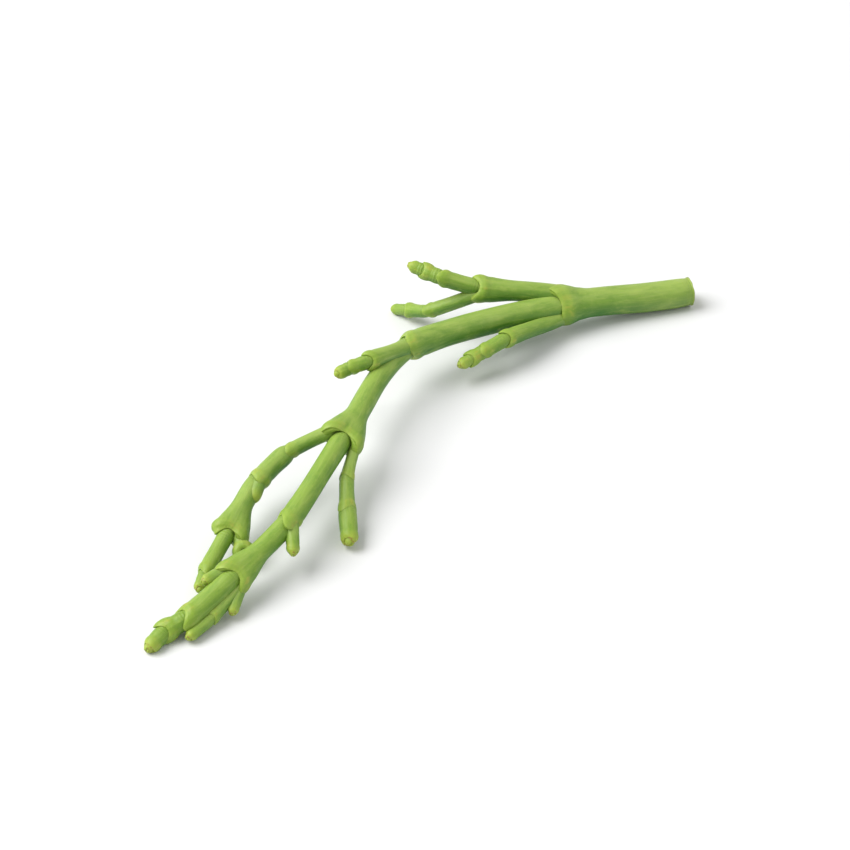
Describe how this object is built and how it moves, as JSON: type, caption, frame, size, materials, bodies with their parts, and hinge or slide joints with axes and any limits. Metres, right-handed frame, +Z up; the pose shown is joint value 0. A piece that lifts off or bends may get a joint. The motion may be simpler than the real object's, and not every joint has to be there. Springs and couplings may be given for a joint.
{
  "type": "samphire sprig",
  "caption": "Cut sprig of marsh samphire lying on a table: a jointed fleshy green stem with side branches, ending in blunt buds.",
  "frame": {"origin": "middle of the sprig's box, on the surface that it lies on", "axes": "+X along the stem towards its cut end, +Z up from the surface"},
  "size_m": [0.1218, 0.0386, 0.0125],
  "materials": {
    "stem_green": "fresh fleshy stem, satin, slightly waxy",
    "branch_green": "fresh fleshy shoots, satin, slightly waxy"
  },
  "bodies": {
    "root": {"main_stem": "stem_green", "side_branch_1_far": "branch_green", "side_branch_1_near": "branch_green", "side_branch_2": "branch_green", "side_branch_3_left": "branch_green", "side_branch_3_right": "branch_green"}
  },
  "joints": []
}
